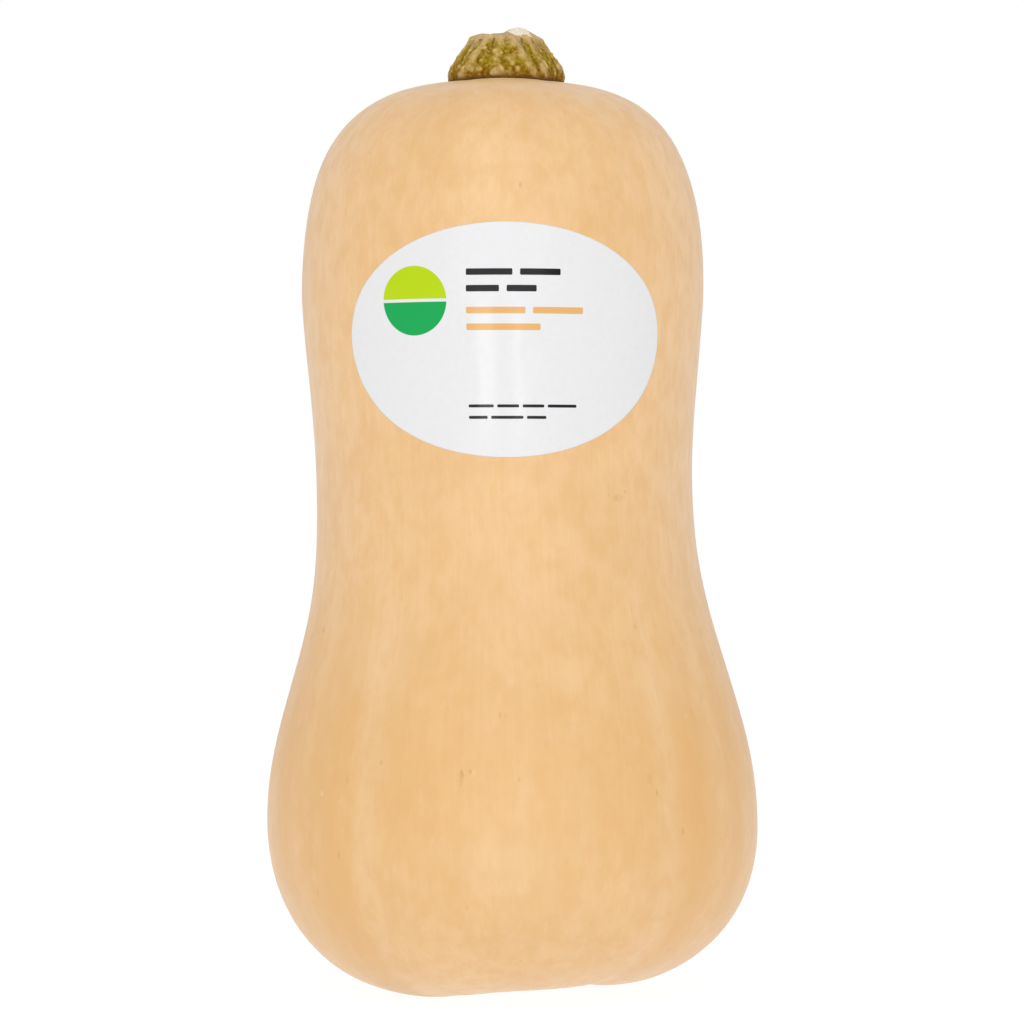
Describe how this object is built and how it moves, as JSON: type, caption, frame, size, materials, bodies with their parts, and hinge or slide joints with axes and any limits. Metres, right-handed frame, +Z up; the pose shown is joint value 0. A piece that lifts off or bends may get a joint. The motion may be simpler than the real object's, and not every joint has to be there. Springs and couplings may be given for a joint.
{
  "type": "butternut squash",
  "caption": "Whole butternut squash standing on its blossom end, with a dry corky stem stub on top and a plain oval paper label on the neck.",
  "frame": {"origin": "on the surface that the squash stands on, under the middle of its bounding box", "axes": "+Z up, along the squash from blossom end to stem; -Y is the side with the label; +X is to the right of someone facing the label"},
  "size_m": [0.1176, 0.1172, 0.2307],
  "materials": {
    "squash_skin": "smooth waxy skin with a satin sheen",
    "stem_cork": "dry, ridged and warty cork",
    "label_paper": "glossy coated paper"
  },
  "bodies": {
    "root": {"fruit": "squash_skin", "stem": "stem_cork", "label": "label_paper"}
  },
  "joints": []
}
